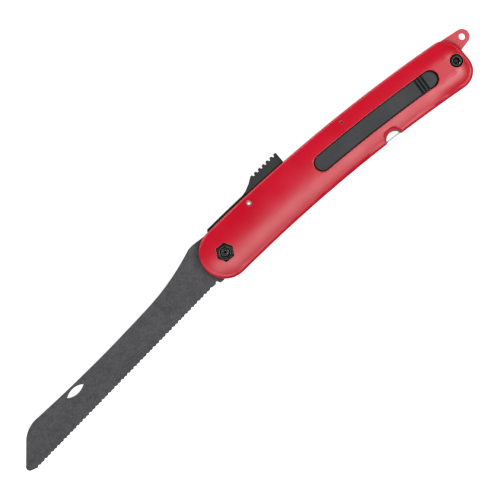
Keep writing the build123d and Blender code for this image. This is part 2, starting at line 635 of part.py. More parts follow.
# ---- tail screw and nut ----------------------------------------------------------------------------
with BuildPart() as tail_screw:
    with BuildSketch(level(TAIL_HEAD_FLOOR)):
        with Locations((SCREW_SPAN, 0)):
            Circle(TAIL_HEAD_RADIUS)
    extrude(amount=TAIL_HEAD_HEIGHT)
    chamfer(tail_screw.faces().sort_by(Axis.Z)[-1].edges(), 0.35)
    with BuildSketch(level(TAIL_HEAD_FLOOR)):
        with Locations((SCREW_SPAN, 0)):
            Circle(TAIL_SCREW_RADIUS)
    extrude(amount=-(TAIL_HEAD_FLOOR + TAIL_NUT_FLOOR + TAIL_NUT_HEIGHT - 0.2))
    hex_prism(
        1,
        (SCREW_SPAN, 0),
        TAIL_SOCKET_ACROSS_FLATS,
        TAIL_HEAD_FLOOR + TAIL_HEAD_HEIGHT - TAIL_SOCKET_DEPTH,
        MID + 1,
        mode=Mode.SUBTRACT,
    )
finish(tail_screw, "tail_screw")

with BuildPart() as tail_nut:
    hex_prism(
        -1, (SCREW_SPAN, 0), TAIL_NUT_ACROSS_FLATS, TAIL_NUT_FLOOR, TAIL_NUT_FLOOR + TAIL_NUT_HEIGHT
    )
    drill(
        -1, (SCREW_SPAN, 0), TAIL_SCREW_RADIUS + RUNNING_GAP, TAIL_NUT_FLOOR - 1, MID + 1
    )
    chamfer(tail_nut.faces().sort_by(Axis.Z)[0].edges().filter_by(GeomType.LINE), 0.25)
finish(tail_nut, "tail_nut")


# ---- lever pin and spring pin ------------------------------------------------------------------------
def pin_half_length(spot):
    """Half-length that leaves a pin just below the crowned faces around it."""
    offset_from_bow = sqrt((spot[0] - ARC_X) ** 2 + (spot[1] - ARC_Y) ** 2)
    depth = ARC_RADIUS + HALF_WIDTH - offset_from_bow
    return crown_height(depth) - 0.3


with BuildPart() as lever_pin:
    lever_pin_half = pin_half_length(LEVER_PIN_AT)
    with BuildSketch(level(-lever_pin_half)):
        with Locations(LEVER_PIN_AT):
            Circle(LEVER_PIN_RADIUS)
            Circle(LEVER_PIN_BORE, mode=Mode.SUBTRACT)
    extrude(amount=2 * lever_pin_half)
    chamfer(lever_pin.edges().filter_by(GeomType.CIRCLE).sort_by(SortBy.RADIUS)[-2:], 0.25)
finish(lever_pin, "lever_pin")

with BuildPart() as spring_pin:
    spring_pin_half = pin_half_length(SPRING_PIN_AT)
    with BuildSketch(level(-spring_pin_half)):
        with Locations(SPRING_PIN_AT):
            Circle(SPRING_PIN_RADIUS)
    extrude(amount=2 * spring_pin_half)
    chamfer(spring_pin.edges().filter_by(GeomType.CIRCLE), 0.2)
finish(spring_pin, "spring_pin")


# ---- lock lever --------------------------------------------------------------------------------------
def lever_top(x):
    """Height of the lever arm's top edge, which follows the spine."""
    return spine_y(x, LEVER_PROUD)


def pad_bottom(x):
    """Height of the thumb pad's underside."""
    return spine_y(x, -PAD_SINK)


def ridge(index):
    """Middle of one thumb ridge's crest."""
    x = FIRST_RIDGE_X + index * RIDGE_PITCH
    share = index / (RIDGE_COUNT - 1)
    return (x, spine_y(x) + PAD_FRONT_RISE + share * (PAD_REAR_RISE - PAD_FRONT_RISE))


def draw_ridges():
    """Draw the thumb ridges: crowned blocks with a narrow round-bottomed valley between them."""
    half = RIDGE_WIDTH / 2
    valley = (RIDGE_PITCH - RIDGE_WIDTH) / 2
    for index in range(RIDGE_COUNT):
        x, top = ridge(index)
        ThreePointArc((x - half, top - RIDGE_CROWN), (x, top), (x + half, top - RIDGE_CROWN))
        if index == RIDGE_COUNT - 1:
            break
        next_x, next_top = ridge(index + 1)
        floor = (top + next_top) / 2 - RIDGE_DEPTH
        Line((x + half, top - RIDGE_CROWN), (x + half, floor + valley))
        ThreePointArc(
            (x + half, floor + valley),
            ((x + next_x) / 2, floor),
            (next_x - half, floor + valley),
        )
        Line((next_x - half, floor + valley), (next_x - half, next_top - RIDGE_CROWN))


TOOTH_INNER = TANG_RADIUS + RUNNING_GAP * 8  # radius of the tooth's face, just off the tang
TOOTH_REAR_X = LEVER_NOSE_X + LEVER_TOOTH_WIDTH


def tooth_face_y(x):
    """Height of the tooth's face, which is round about the pivot."""
    return sqrt(TOOTH_INNER**2 - x**2)


with BuildPart() as lock_lever:
    # web: the plate that works in the channel
    boss_radius = LEVER_PIN_RADIUS + 1.7
    web_rear_x = PAD_REAR_X - 0.5
    web_below_crest = 3.0
    with BuildSketch(level(-LEVER_WEB / 2)):
        with BuildLine():
            nose_mid = (LEVER_NOSE_X + TOOTH_REAR_X) / 2
            front_x = LEVER_NOSE_X + 0.9
            ThreePointArc(
                (TOOTH_REAR_X, tooth_face_y(TOOTH_REAR_X)),
                (nose_mid, tooth_face_y(nose_mid)),
                (LEVER_NOSE_X, tooth_face_y(LEVER_NOSE_X)),
            )
            Line((LEVER_NOSE_X, tooth_face_y(LEVER_NOSE_X)), (LEVER_NOSE_X, lever_top(0) - 1.0))
            Line((LEVER_NOSE_X, lever_top(0) - 1.0), (front_x, lever_top(front_x)))
            arm_middle = (front_x + PAD_FRONT_X - 2.5) / 2
            ThreePointArc(
                (front_x, lever_top(front_x)),
                (arm_middle, lever_top(arm_middle)),
                (PAD_FRONT_X - 2.5, lever_top(PAD_FRONT_X - 2.5)),
            )
            Polyline(
                (PAD_FRONT_X - 2.5, lever_top(PAD_FRONT_X - 2.5)),
                (PAD_FRONT_X, lever_top(PAD_FRONT_X) + 0.5),
                (FIRST_RIDGE_X, ridge(0)[1] - web_below_crest),
                (web_rear_x, ridge(RIDGE_COUNT - 1)[1] - web_below_crest),
                (web_rear_x, LEVER_ARM_BOTTOM),
                (LEVER_PIN_AT[0] + 4.0, LEVER_ARM_BOTTOM - 0.6),
                (LEVER_PIN_AT[0] - 4.0, LEVER_ARM_BOTTOM - 0.6),
                (TOOTH_REAR_X + 2.0, LEVER_ARM_BOTTOM),
                (TOOTH_REAR_X, tooth_face_y(TOOTH_REAR_X)),
            )
        make_face()
        with Locations(LEVER_PIN_AT):
            Circle(boss_radius)
            Circle(LEVER_PIN_RADIUS + RUNNING_GAP, mode=Mode.SUBTRACT)
    extrude(amount=LEVER_WEB)
    # thumb pad: wider than the channel, with rounded valleys between its ridges
    with BuildSketch(level(-PAD_WIDTH / 2)):
        with BuildLine():
            draw_ridges()
            first = (ridge(0)[0] - RIDGE_WIDTH / 2, ridge(0)[1] - RIDGE_CROWN)
            last = (ridge(RIDGE_COUNT - 1)[0] + RIDGE_WIDTH / 2, ridge(RIDGE_COUNT - 1)[1] - RIDGE_CROWN)
            pad_middle = (PAD_FRONT_X + PAD_REAR_X) / 2
            Polyline(last, (PAD_REAR_X, last[1] - RIDGE_CROWN), (PAD_REAR_X, pad_bottom(PAD_REAR_X)))
            ThreePointArc(
                (PAD_REAR_X, pad_bottom(PAD_REAR_X)),
                (pad_middle, pad_bottom(pad_middle)),
                (PAD_FRONT_X, pad_bottom(PAD_FRONT_X)),
            )
            Polyline(
                (PAD_FRONT_X, pad_bottom(PAD_FRONT_X)),
                (PAD_FRONT_X, lever_top(PAD_FRONT_X) + 0.4),
                (PAD_FRONT_X + 4.8, lever_top(PAD_FRONT_X) + 2.9),
                first,
            )
        make_face()
    extrude(amount=PAD_WIDTH)
    # flats on both sides of the pad's rear end
    for side in (1, -1):
        pad_face = MID + side * PAD_WIDTH / 2
        with BuildSketch(Plane.XZ):
            with BuildLine():
                Polyline(
                    (PAD_REAR_X - PAD_BEVEL_RUN, pad_face),
                    (PAD_REAR_X + 1, pad_face - side * PAD_BEVEL_FALL * (1 + 1 / PAD_BEVEL_RUN)),
                    (PAD_REAR_X + 1, pad_face),
                    close=True,
                )
            make_face()
        extrude(amount=2 * HANDLE_WIDTH, both=True, mode=Mode.SUBTRACT)
finish(lock_lever, "lock_lever")

# ---- leaf spring: an eye on its pin and one arm under the lever's tail ---------------------------------
with BuildPart() as leaf_spring:
    tip = (web_rear_x - 2.0, LEVER_ARM_BOTTOM - MOVING_GAP)
    root = (SPRING_PIN_AT[0] - 1.2, SPRING_PIN_AT[1] + 0.6)
    sag = ((tip[0] + root[0]) / 2, (tip[1] + root[1]) / 2 - 0.5)
    with BuildSketch(level(-LEVER_WEB / 2)):
        with BuildLine():
            ThreePointArc(tip, sag, root)
            Line(root, (root[0], root[1] - LEAF_THICKNESS))
            ThreePointArc(
                (root[0], root[1] - LEAF_THICKNESS),
                (sag[0], sag[1] - LEAF_THICKNESS),
                (tip[0], tip[1] - LEAF_THICKNESS),
            )
            Line((tip[0], tip[1] - LEAF_THICKNESS), tip)
        make_face()
        with Locations(SPRING_PIN_AT):
            Circle(LEAF_EYE_RADIUS)
            Circle(SPRING_PIN_RADIUS + RUNNING_GAP, mode=Mode.SUBTRACT)
    extrude(amount=LEVER_WEB)
finish(leaf_spring, "leaf_spring")


# ---- blade ---------------------------------------------------------------------------------------------
def lock_notch():
    """Draw the notch that takes the lever's tooth when it seats, with room beside it."""
    left = LEVER_NOSE_X - 0.4
    right = TOOTH_REAR_X + 2.2
    floor = TOOTH_INNER - LEVER_TOOTH_TRAVEL - 0.35
    with BuildLine() as notch:
        Polyline(
            (left, floor),
            (right, floor - 1.6),
            (right, HUMP_HEIGHT + 2),
            (left, HUMP_HEIGHT + 2),
            close=True,
        )
    make_face(notch.edges())


with BuildPart() as blade:
    blade_plane = Plane(
        origin=(0, 0, MID - BLADE_THICKNESS / 2),
        x_dir=(cos(radians(BLADE_TILT)), sin(radians(BLADE_TILT)), 0),
        z_dir=(0, 0, 1),
    )
    tip_point = (-TIP_REACH, -TIP_DROP)
    clip_low = (tip_point[0] + 1.2, tip_point[1] + 2.6)
    clip_high = (tip_point[0] + TIP_CLIP_RUN, TIP_CLIP_HEIGHT)
    shoulder = (tip_point[0] + SHOULDER_RUN, SPINE_HEIGHTS[0])
    shoulder_mid = ((clip_high[0] + shoulder[0]) / 2 - 1.0, SPINE_HEIGHTS[0] - 1.3)
    spine_step = (HUMP_FOOT_X - shoulder[0]) / (len(SPINE_HEIGHTS) - 1)
    spine = [(shoulder[0] + index * spine_step, y) for index, y in enumerate(SPINE_HEIGHTS)]
    hump_mid = ((HUMP_FOOT_X + HUMP_START_X) / 2, (SPINE_HEIGHTS[-1] + HUMP_HEIGHT) / 2 - 0.9)
    tooth_count = round((TIP_REACH - TEETH_TO_TIP + TOOTH_START) / TOOTH_PITCH)
    teeth_end = TOOTH_START - tooth_count * TOOTH_PITCH
    with BuildSketch(blade_plane):
        with BuildLine():
            # toothed edge, from heel to tip
            for index in range(tooth_count):
                near = TOOTH_START - index * TOOTH_PITCH
                Polyline(
                    (near, TOOTH_LINE),
                    (near - TOOTH_GULLET_SHARE * TOOTH_PITCH, TOOTH_LINE + TOOTH_DEPTHS[index % 2]),
                    (near - TOOTH_PITCH, TOOTH_LINE),
                )
            # snub nose and clipped point
            Line((teeth_end, TOOTH_LINE), (tip_point[0] + 1.0, tip_point[1] - 1.4))
            ThreePointArc(
                (tip_point[0] + 1.0, tip_point[1] - 1.4),
                tip_point,
                clip_low,
            )
            Line(clip_low, clip_high)
            # hollow spine that swells into the hump over the pivot
            ThreePointArc(clip_high, shoulder_mid, shoulder)
            Spline(*spine, hump_mid, (HUMP_START_X, HUMP_HEIGHT))
            Polyline(
                (HUMP_START_X, HUMP_HEIGHT),
                (-10.0, HUMP_HEIGHT),
                (-3.4, HUMP_HEIGHT - 1.0),
                (2.0, HUMP_HEIGHT - 2.0),
                (0, 0),
                (-4.1, -sqrt(TANG_RADIUS**2 - 4.1**2)),
                (-12.2, TOOTH_LINE - 1.7),
                (-14.2, TOOTH_LINE - 1.4),
                (-14.8, TOOTH_LINE),
            )
            ThreePointArc((-14.8, TOOTH_LINE), (-15.6, TOOTH_LINE + 0.8), (-16.4, TOOTH_LINE))
            Line((-16.4, TOOTH_LINE), (TOOTH_START, TOOTH_LINE))
        make_face()
        Circle(TANG_RADIUS)
        Circle(BUSHING_RADIUS + RUNNING_GAP, mode=Mode.SUBTRACT)
        # pointed nail slot
        half = NAIL_SLOT_LENGTH / 2
        rise = NAIL_SLOT_HEIGHT / 2
        with BuildSketch(mode=Mode.PRIVATE) as nail_slot:
            with BuildLine():
                ThreePointArc((-half, 0), (0, rise), (half, 0))
                ThreePointArc((half, 0), (0, -rise), (-half, 0))
            make_face()
        slot_at = (NAIL_SLOT_FROM_TIP - TIP_REACH, NAIL_SLOT_Y, 0)
        with Locations(Location(slot_at, (0, 0, NAIL_SLOT_LEAN))):
            add(nail_slot.sketch, mode=Mode.SUBTRACT)
    extrude(amount=BLADE_THICKNESS)
    # one notch under the tooth with the blade open, one that comes under it when folded
    with BuildSketch(level(-BLADE_THICKNESS / 2)):
        lock_notch()
    extrude(amount=BLADE_THICKNESS, mode=Mode.SUBTRACT)
    folded_plane = Plane(
        origin=(0, 0, MID - BLADE_THICKNESS / 2),
        x_dir=(cos(radians(FOLD_ANGLE)), -sin(radians(FOLD_ANGLE)), 0),
        z_dir=(0, 0, 1),
    )
    with BuildSketch(folded_plane):
        lock_notch()
    extrude(amount=BLADE_THICKNESS, mode=Mode.SUBTRACT)
finish(blade, "blade")

# ---- belt clip, its cross pin and its return spring ------------------------------------------------------
with BuildPart() as belt_clip:
    with BuildSketch(level(CLIP_BOTTOM)):
        arc_slot(CLIP_FRONT_X, CLIP_REAR_X, CLIP_WIDTH)
    extrude(amount=CLIP_THICKNESS)
    chamfer(belt_clip.faces().sort_by(Axis.Z)[-1].edges(), 0.4)
    # round-bottomed grip grooves across the pressing end
    for index in range(GROOVE_COUNT):
        groove_x = CLIP_REAR_X - GROOVE_SETBACK - index * GROOVE_PITCH
        with BuildSketch(cross_plane(groove_x, CLIP_TOP).offset(-CLIP_WIDTH)):
            Circle(GROOVE_RADIUS)
        extrude(amount=2 * CLIP_WIDTH, mode=Mode.SUBTRACT)
    # lug under the bar, bored for the cross pin
    lug_plane = cross_plane(CLIP_PIN_X, CLIP_PIN_HEIGHT)
    lug_radius = 2 * CLIP_PIN_RADIUS
    with BuildSketch(lug_plane.offset(-CLIP_LUG_WIDTH / 2)):
        Circle(lug_radius)
        lug_rise = CLIP_BOTTOM - CLIP_PIN_HEIGHT + 0.3
        Rectangle(2 * lug_radius, lug_rise, align=(Align.CENTER, Align.MIN))
    extrude(amount=CLIP_LUG_WIDTH)
    with BuildSketch(lug_plane.offset(-CLIP_LUG_WIDTH)):
        Circle(CLIP_PIN_RADIUS + RUNNING_GAP)
    extrude(amount=2 * CLIP_LUG_WIDTH, mode=Mode.SUBTRACT)
finish(belt_clip, "belt_clip")

with BuildPart() as clip_pin:
    with BuildSketch(cross_plane(CLIP_PIN_X, CLIP_PIN_HEIGHT).offset(-CLIP_PIN_LENGTH / 2 + 0.2)):
        Circle(CLIP_PIN_RADIUS)
    extrude(amount=CLIP_PIN_LENGTH - 0.4)
    chamfer(clip_pin.edges().filter_by(GeomType.CIRCLE), 0.2)
finish(clip_pin, "clip_pin")

with BuildPart() as clip_spring:
    coil_bottom = CLIP_SPRING_SEAT + CLIP_SPRING_WIRE / 2 + 0.02
    coil_top = CLIP_BOTTOM - CLIP_SPRING_WIRE / 2 - 0.05
    coil_at = on_centreline(CLIP_SPRING_X)
    coil_height = coil_top - coil_bottom
    with BuildLine() as coil:
        Helix(
            coil_height / CLIP_SPRING_TURNS,
            coil_height,
            CLIP_SPRING_RADIUS,
            center=(coil_at[0], coil_at[1], MID + coil_bottom),
        )
    with BuildSketch(Plane(coil.edges()[0] @ 0, z_dir=coil.edges()[0] % 0)):
        Circle(CLIP_SPRING_WIRE / 2)
    sweep(path=coil.wires()[0], is_frenet=True)
finish(clip_spring, "clip_spring")

print(f"blade reach {BLADE_REACH:.1f}, handle arc radius {ARC_RADIUS:.1f}")
print(f"lean at the clip pin {degrees(asin((CLIP_PIN_X - ARC_X) / ARC_RADIUS)):.2f} degrees")
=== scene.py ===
# %% [markdown]
# # A folding drywall saw
#
# The saw lies on its back on a pale studio floor, with its blade open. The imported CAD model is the
# fixed frame: every part is already in its place, at its real size, in metres. What is left for
# Blender is the light, the camera, the finishes and the fine shape that a CAD solid leaves out.

# %% Load the frame
import json
import math

import bmesh
import bpy
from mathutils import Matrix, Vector


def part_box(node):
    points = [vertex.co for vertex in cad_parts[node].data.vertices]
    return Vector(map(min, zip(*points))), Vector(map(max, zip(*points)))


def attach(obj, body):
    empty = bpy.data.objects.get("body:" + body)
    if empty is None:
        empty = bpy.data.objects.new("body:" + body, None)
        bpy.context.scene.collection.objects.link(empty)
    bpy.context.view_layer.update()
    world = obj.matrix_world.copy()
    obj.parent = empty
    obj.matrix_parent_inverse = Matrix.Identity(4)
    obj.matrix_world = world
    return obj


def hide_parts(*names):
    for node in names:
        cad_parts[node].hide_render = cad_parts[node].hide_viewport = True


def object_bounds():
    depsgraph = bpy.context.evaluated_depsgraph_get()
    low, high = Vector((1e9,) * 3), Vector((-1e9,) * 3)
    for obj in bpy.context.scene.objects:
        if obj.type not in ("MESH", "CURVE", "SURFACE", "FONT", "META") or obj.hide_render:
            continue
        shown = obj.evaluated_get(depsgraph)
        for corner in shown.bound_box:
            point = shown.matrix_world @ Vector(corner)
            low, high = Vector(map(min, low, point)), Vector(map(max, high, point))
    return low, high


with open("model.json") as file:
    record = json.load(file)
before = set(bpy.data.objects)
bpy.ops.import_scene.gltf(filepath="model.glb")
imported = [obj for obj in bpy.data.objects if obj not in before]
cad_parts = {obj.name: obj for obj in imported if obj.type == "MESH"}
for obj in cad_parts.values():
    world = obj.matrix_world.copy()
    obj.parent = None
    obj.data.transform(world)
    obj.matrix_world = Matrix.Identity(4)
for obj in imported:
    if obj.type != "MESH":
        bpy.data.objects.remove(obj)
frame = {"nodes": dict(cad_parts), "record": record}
CAD_LOW, CAD_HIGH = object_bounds()
MM = 0.001

# %% [markdown]
# ## The saw's own directions
#
# All that is placed later is worked out from the frame: the pivot is the origin, the tail screw
# gives the handle's length, and the blade leaves the pivot at a small angle. Reading boxes from the
# CAD nodes keeps the script right if the model changes.


# %% Places read from the frame
def middle(node):
    """Centre of a CAD node's box."""
    low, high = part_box(node)
    return (low + high) / 2


PIVOT = middle("pivot_nut")
TAIL = middle("tail_screw")
HANDLE_LOW, HANDLE_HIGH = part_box("front_scale")
BLADE_LOW, BLADE_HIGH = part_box("blade")
MID_HEIGHT = (BLADE_LOW.z + BLADE_HIGH.z) / 2
BLADE_TILT = math.radians(6.24)  # the tooth line against the handle's X axis, when open
print(f"screw span {(TAIL - PIVOT).x / MM:.1f} mm, mid-plane {MID_HEIGHT / MM:.2f} mm")

# %% [markdown]
# ## Camera
#
# A product picture of a flat tool is taken from straight above with a long lens, so that the near
# face isn't swollen. The camera hangs over the saw and is rolled, which makes the handle climb to
# the upper right. A long lens far away is chosen over an orthographic camera, because it still shows
# a little of the crowned sides, as a real lens does.

# %% Camera
ROLL = math.radians(39.63)
VIEW_WIDTH = 1.667 * (TAIL - PIVOT).x
CAMERA_HEIGHT = 1.5
AIM_PAST_PIVOT = (0.0117, -0.0080)  # the middle of the open saw
AIM_HEIGHT = 0.0145
LOOK_AT = Vector((PIVOT.x + AIM_PAST_PIVOT[0], PIVOT.y + AIM_PAST_PIVOT[1], AIM_HEIGHT))

camera_data = bpy.data.cameras.new("camera")
camera_data.sensor_width = 36
camera_data.lens = camera_data.sensor_width * CAMERA_HEIGHT / VIEW_WIDTH
camera_data.clip_start = 0.05
camera_data.clip_end = 10
camera = bpy.data.objects.new("camera", camera_data)
camera.location = LOOK_AT + Vector((0, 0, CAMERA_HEIGHT))
camera.rotation_euler = (0, 0, -ROLL)
bpy.context.scene.collection.objects.link(camera)
bpy.context.scene.camera = camera
print(f"view width {VIEW_WIDTH / MM:.0f} mm, lens {camera_data.lens:.0f} mm")

# %% [markdown]
# ## Floor and light
#
# The studio is plain: a pale floor and large soft boxes in a dim room. A glossy coat shows what stands
# in its mirror direction, so the boxes are placed by angle. From above, the spine side of the handle
# mirrors the dark room and stays a deep red. The belly side leans a few degrees and mirrors one box
# hung just off the camera's axis, which draws the broad pale sheen. A small box further over does
# the same for the tail. The other two stand low, where only the rounded rims can mirror them, and
# fill the saw with plain diffuse light.
#
# The floor is lit from within for the camera alone. That keeps it an even white with only the deepest
# contact shadow, while the saw's undersides still see a grey floor and keep their shape.


# %% Soft boxes placed by angle
SAW_MIDDLE = Vector((0.01, -0.005, MID_HEIGHT))  # what every box is turned to


def soft_box(name, turn, lean, distance, size, radiance):
    """An area light at lean degrees from straight up, turned from +X; radiance sets its power."""
    data = bpy.data.lights.new(name, "AREA")
    data.shape = "RECTANGLE"
    data.size, data.size_y = size
    data.energy = radiance * math.pi * size[0] * size[1]
    light = bpy.data.objects.new(name, data)
    turn, lean = math.radians(turn), math.radians(lean)
    way = Vector((math.sin(lean) * math.cos(turn), math.sin(lean) * math.sin(turn), math.cos(lean)))
    light.location = SAW_MIDDLE + way * distance
    light.rotation_euler = (-way).to_track_quat("-Z", "Y").to_euler()
    bpy.context.scene.collection.objects.link(light)
    return light


soft_box("belly_box", 250, 16, 1.2, (1.1, 0.30), 6.6)
soft_box("spine_box", 95, 74, 1.2, (1.6, 0.12), 14.0)
soft_box("tail_box", 345, 34, 0.55, (0.20, 0.20), 9.0)
soft_box("blade_box", 180, 62, 1.3, (0.8, 0.8), 1.9)

world = bpy.data.worlds.new("studio")
bpy.context.scene.world = world
world.use_nodes = True
world.node_tree.nodes["Background"].inputs["Color"].default_value = (1, 1, 1, 1)
world.node_tree.nodes["Background"].inputs["Strength"].default_value = 0.04
bpy.context.scene.view_settings.view_transform = "Standard"


# %% Floor
PAPER_GREY = 0.62
PAPER_GLOW = 0.85
FLOOR_REACH = 3.0
FLOOR_GAP = 0.0004  # below the saw's lowest point


def floor_material():
    """Grey paper that also glows, for camera rays alone."""
    material = bpy.data.materials.new("floor_white")
    material.use_nodes = True
    tree = material.node_tree
    shader = tree.nodes["Principled BSDF"]
    shader.inputs["Base Color"].default_value = (PAPER_GREY, PAPER_GREY, PAPER_GREY, 1)
    shader.inputs["Roughness"].default_value = 0.9
    shader.inputs["Specular IOR Level"].default_value = 0.0
    shader.inputs["Emission Color"].default_value = (1, 1, 1, 1)
    path = tree.nodes.new("ShaderNodeLightPath")
    glow = tree.nodes.new("ShaderNodeMath")
    glow.operation = "MULTIPLY"
    glow.inputs[1].default_value = PAPER_GLOW
    tree.links.new(path.outputs["Is Camera Ray"], glow.inputs[0])
    tree.links.new(glow.outputs[0], shader.inputs["Emission Strength"])
    return material


def make_floor():
    """A wide pale floor just under the saw."""
    mesh = bpy.data.meshes.new("floor")
    reach = FLOOR_REACH
    corners = [(-reach, -reach, 0), (reach, -reach, 0), (reach, reach, 0), (-reach, reach, 0)]
    mesh.from_pydata(corners, [], [(0, 1, 2, 3)])
    floor = bpy.data.objects.new("floor", mesh)
    floor.location.z = CAD_LOW.z - FLOOR_GAP
    bpy.context.scene.collection.objects.link(floor)
    mesh.materials.append(floor_material())
    return floor


make_floor()
print("floor at", round(CAD_LOW.z / MM, 2), "mm")

# %% [markdown]
# ## Shader node groups
#
# Several finishes share the same effects, so each effect is one node group with named sockets. A
# group puts out only masks, colours and normals. Each material keeps its own shader.
#
# * **Edge wear and glint** finds edges by comparing the rounded normal of a Bevel node with the true
#   one. Its mask lays a paler colour on edges: rubbed coat on most finishes, and a painted highlight
#   on the red paint and the oxide. It also hands that rounded normal on, so a crisp machined edge
#   catches a thin line of light.
# * **Recess shade** finds gaps and sockets by how little open sky they see, and its mask paints
#   shade into them.
# * **Coating grain** is the fine pebble of powder coat and cast paint: two sizes of noise.
# * **Drawn lines** are the long fine scratches of rolled or ground steel.
# * **Handling** is a slow patchiness with a few fine scuffs, which breaks up roughness.


# %% Helpers for node groups
def new_group(name, inputs, outputs):
    """A node group with named sockets; inputs give (name, type, default)."""
    group = bpy.data.node_groups.new(name, "ShaderNodeTree")
    for socket_name, kind, default in inputs:
        socket = group.interface.new_socket(socket_name, in_out="INPUT", socket_type=kind)
        if default is not None:
            socket.default_value = default
    for socket_name, kind in outputs:
        group.interface.new_socket(socket_name, in_out="OUTPUT", socket_type=kind)
    return group, group.nodes.new("NodeGroupInput"), group.nodes.new("NodeGroupOutput")


def node(tree, kind, settings=None, **sockets):
    """Add a node. settings are its properties; a socket is given by name, or by number as i0, i1.

    A socket's value may be a constant or another node's output.
    """
    made = tree.nodes.new(kind)
    for key, value in (settings or {}).items():
        setattr(made, key, value)
    for key, value in sockets.items():
        numbered = key[0] == "i" and key[1:].isdigit()
        socket = made.inputs[int(key[1:])] if numbered else made.inputs[key]
        if isinstance(value, bpy.types.NodeSocket):
            tree.links.new(value, socket)
        else:
            socket.default_value = value
    return made


def maths(tree, operation, first, second=0.0, clamp=False):
    """One Math node's output."""
    settings = {"operation": operation, "use_clamp": clamp}
    made = node(tree, "ShaderNodeMath", settings, i0=first, i1=second)
    return made.outputs[0]


def remap(tree, value, low, high, to_low=0.0, to_high=1.0):
    """A clamped Map Range, for turning noise into a mask."""
    made = node(tree, "ShaderNodeMapRange", None, i0=value, i1=low, i2=high, i3=to_low, i4=to_high)
    return made.outputs[0]


def noise(tree, vector, scale, detail=2.0, rough=0.5):
    """A noise texture's value, about 0.5."""
    made = node(
        tree, "ShaderNodeTexNoise", None, Vector=vector, Scale=scale, Detail=detail, Roughness=rough
    )
    return made.outputs[0]


# %% Edge wear and glint group
FLOAT, VECTOR = "NodeSocketFloat", "NodeSocketVector"


def build_edge_wear_and_glint():
    """Mask of edges, for wear and for a painted highlight, and a normal that rounds them."""
    group, source, result = new_group(
        "edge_wear_and_glint",
        [("Radius", FLOAT, 0.0004), ("Breakup", FLOAT, 0.5), ("Scale", FLOAT, 900.0)],
        [("Mask", FLOAT), ("Normal", VECTOR)],
    )
    place = node(group, "ShaderNodeTexCoord").outputs["Object"]
    round_normal = node(
        group, "ShaderNodeBevel", {"samples": 6}, Radius=source.outputs["Radius"]
    ).outputs["Normal"]
    true_normal = node(group, "ShaderNodeNewGeometry").outputs["Normal"]
    facing = node(
        group,
        "ShaderNodeVectorMath",
        {"operation": "DOT_PRODUCT"},
        i0=round_normal,
        i1=true_normal,
    )
    bend = remap(group, facing.outputs["Value"], 0.985, 0.80)
    speckle = remap(group, noise(group, place, source.outputs["Scale"], 4.0, 0.6), 0.40, 0.62)
    kept = maths(group, "MULTIPLY", speckle, source.outputs["Breakup"])
    floor_level = maths(group, "SUBTRACT", 1.0, source.outputs["Breakup"])
    share = maths(group, "ADD", kept, floor_level)
    group.links.new(maths(group, "MULTIPLY", bend, share, clamp=True), result.inputs["Mask"])
    group.links.new(round_normal, result.inputs["Normal"])
    return group


EDGE_WEAR_AND_GLINT = build_edge_wear_and_glint()


# %% Recess shade group
def build_recess_shade():
    """Mask of gaps, sockets and grooves, where little light comes in, for painting shade into them."""
    group, source, result = new_group(
        "recess_shade",
        [("Reach", FLOAT, 0.002), ("Start", FLOAT, 0.88), ("Full", FLOAT, 0.40)],
        [("Mask", FLOAT)],
    )
    open_sky = node(
        group, "ShaderNodeAmbientOcclusion", {"samples": 8}, Distance=source.outputs["Reach"]
    )
    mask = remap(group, open_sky.outputs["AO"], source.outputs["Start"], source.outputs["Full"])
    group.links.new(mask, result.inputs["Mask"])
    return group


RECESS_SHADE = build_recess_shade()


# %% Coating grain group
def build_coating_grain():
    """Height of a pebbled coat and a slow change of tone."""
    group, source, result = new_group(
        "coating_grain",
        [("Scale", FLOAT, 2500.0), ("Coarse Share", FLOAT, 0.35)],
        [("Height", FLOAT), ("Tone", FLOAT)],
    )
    place = node(group, "ShaderNodeTexCoord").outputs["Object"]
    fine = noise(group, place, source.outputs["Scale"], 3.0, 0.55)
    coarse_scale = maths(group, "MULTIPLY", source.outputs["Scale"], 0.28)
    coarse = noise(group, place, coarse_scale, 2.0, 0.5)
    mixed = node(
        group,
        "ShaderNodeMix",
        {"data_type": "FLOAT"},
        i0=source.outputs["Coarse Share"],
        i2=fine,
        i3=coarse,
    )
    group.links.new(mixed.outputs[0], result.inputs["Height"])
    slow = noise(group, place, 45.0, 3.0, 0.6)
    group.links.new(slow, result.inputs["Tone"])
    return group


COATING_GRAIN = build_coating_grain()


# %% Drawn lines group
def build_drawn_lines():
    """Long fine lines along one direction, for rolled and ground steel."""
    group, source, result = new_group(
        "drawn_lines",
        [("Stretch", VECTOR, (60.0, 4000.0, 4000.0)), ("Turn", FLOAT, 0.0)],
        [("Height", FLOAT), ("Shade", FLOAT)],
    )
    place = node(group, "ShaderNodeTexCoord").outputs["Object"]
    turned = node(
        group,
        "ShaderNodeVectorRotate",
        {"rotation_type": "Z_AXIS"},
        Vector=place,
        Angle=source.outputs["Turn"],
    )
    stretched = node(
        group,
        "ShaderNodeVectorMath",
        {"operation": "MULTIPLY"},
        i0=turned.outputs[0],
        i1=source.outputs["Stretch"],
    )
    lines = noise(group, stretched.outputs[0], 1.0, 3.0, 0.65)
    group.links.new(lines, result.inputs["Height"])
    group.links.new(remap(group, lines, 0.3, 0.7), result.inputs["Shade"])
    return group


DRAWN_LINES = build_drawn_lines()


